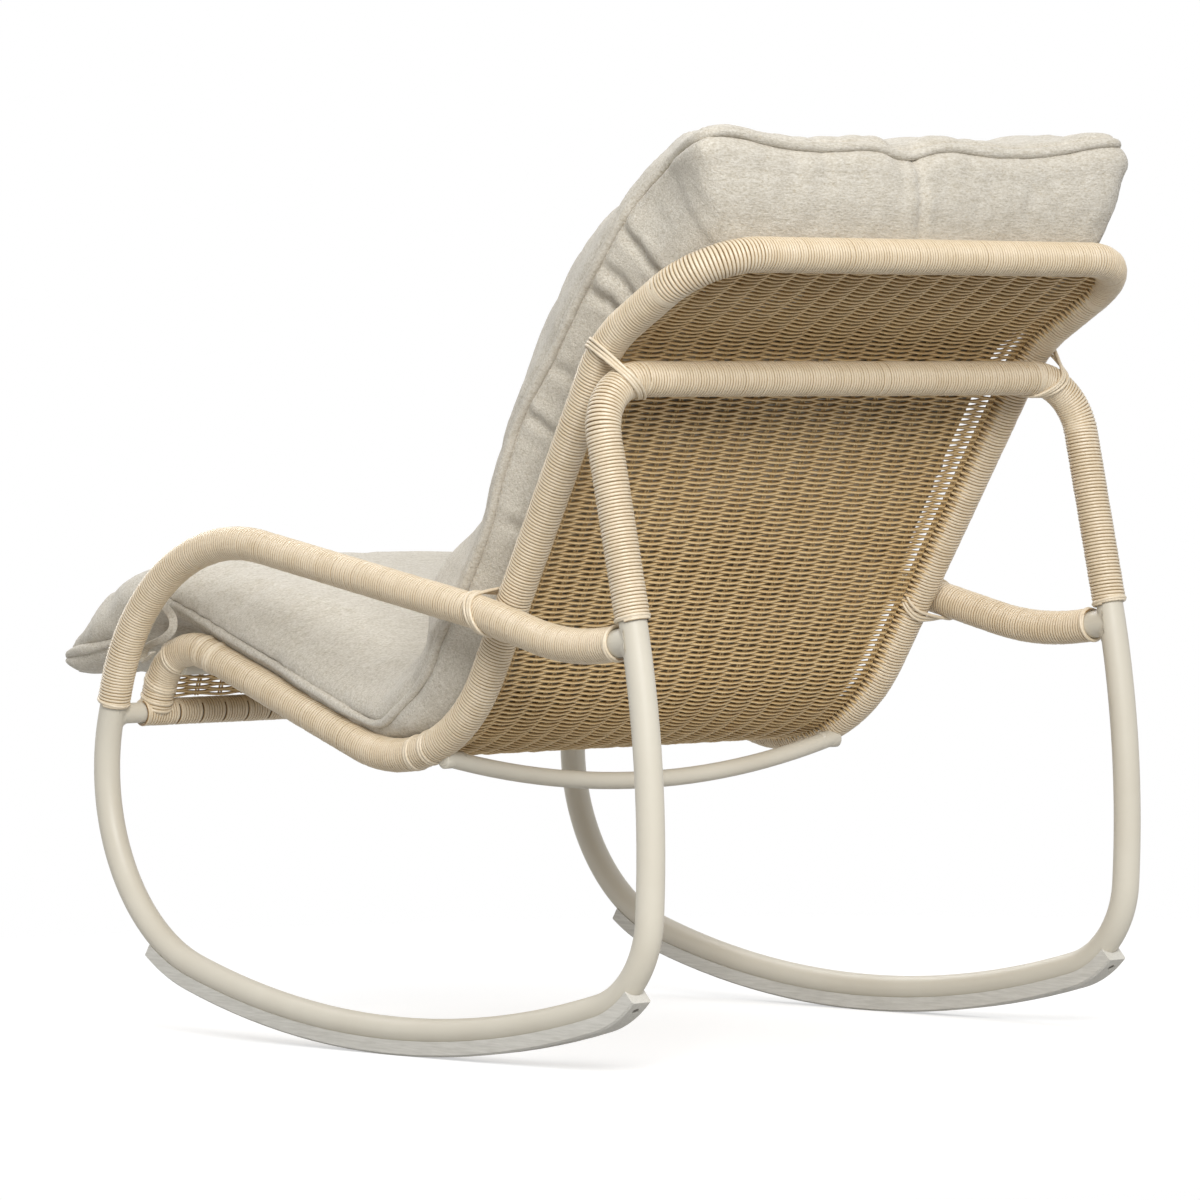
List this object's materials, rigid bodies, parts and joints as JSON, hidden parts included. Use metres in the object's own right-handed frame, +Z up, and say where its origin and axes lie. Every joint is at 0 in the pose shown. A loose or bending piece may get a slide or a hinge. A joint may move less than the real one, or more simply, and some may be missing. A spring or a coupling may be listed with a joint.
{
  "type": "outdoor rocking chair",
  "caption": "Low outdoor rocking chair: painted tube frame on curved runners, strand-wound arms and rails, woven sling seat and back, and a one-piece lounge cushion.",
  "frame": {"origin": "on the floor, under the middle of the chair's box", "axes": "+Z up, -Y the way the sitter faces, +X the sitter's left"},
  "size_m": [0.6954, 1.0956, 0.9148],
  "materials": {
    "frame_paint": "satin",
    "wound_strand": "satin",
    "woven_strand": "satin",
    "glide_plastic": "matte",
    "screw_steel": "brushed",
    "cushion_fabric": "woven",
    "welt_fabric": "woven"
  },
  "bodies": {
    "frame": {"front_cross_tube": "frame_paint", "knee_cross_tube": "frame_paint", "seat_brace_tube": "frame_paint", "seat_hoop_tube": "frame_paint", "rear_hoop_tube": "frame_paint", "left_arm_tube": "frame_paint", "right_arm_tube": "frame_paint", "left_rocker_tube": "frame_paint", "right_rocker_tube": "frame_paint", "crossbar_wrap": "wound_strand", "left_post_wrap": "wound_strand", "right_post_wrap": "wound_strand", "left_arm_wrap": "wound_strand", "right_arm_wrap": "wound_strand", "left_rail_wrap": "wound_strand", "right_rail_wrap": "wound_strand", "top_rail_wrap": "wound_strand", "front_cross_wrap": "wound_strand", "front_weave": "woven_strand", "seat_weave": "woven_strand", "back_weave": "woven_strand", "head_weave": "woven_strand", "left_runner_glide": "glide_plastic", "right_runner_glide": "glide_plastic", "glide_screws": "screw_steel"},
    "cushion": {"lounge_cushion": "cushion_fabric", "cushion_welt": "welt_fabric", "left_cushion_tie": "welt_fabric", "right_cushion_tie": "welt_fabric"}
  },
  "joints": [
    {"name": "cushion_lift", "type": "slide", "parent": "frame", "child": "cushion", "axis": [0, 0, 1], "range_m": [0, 0.55]}
  ]
}
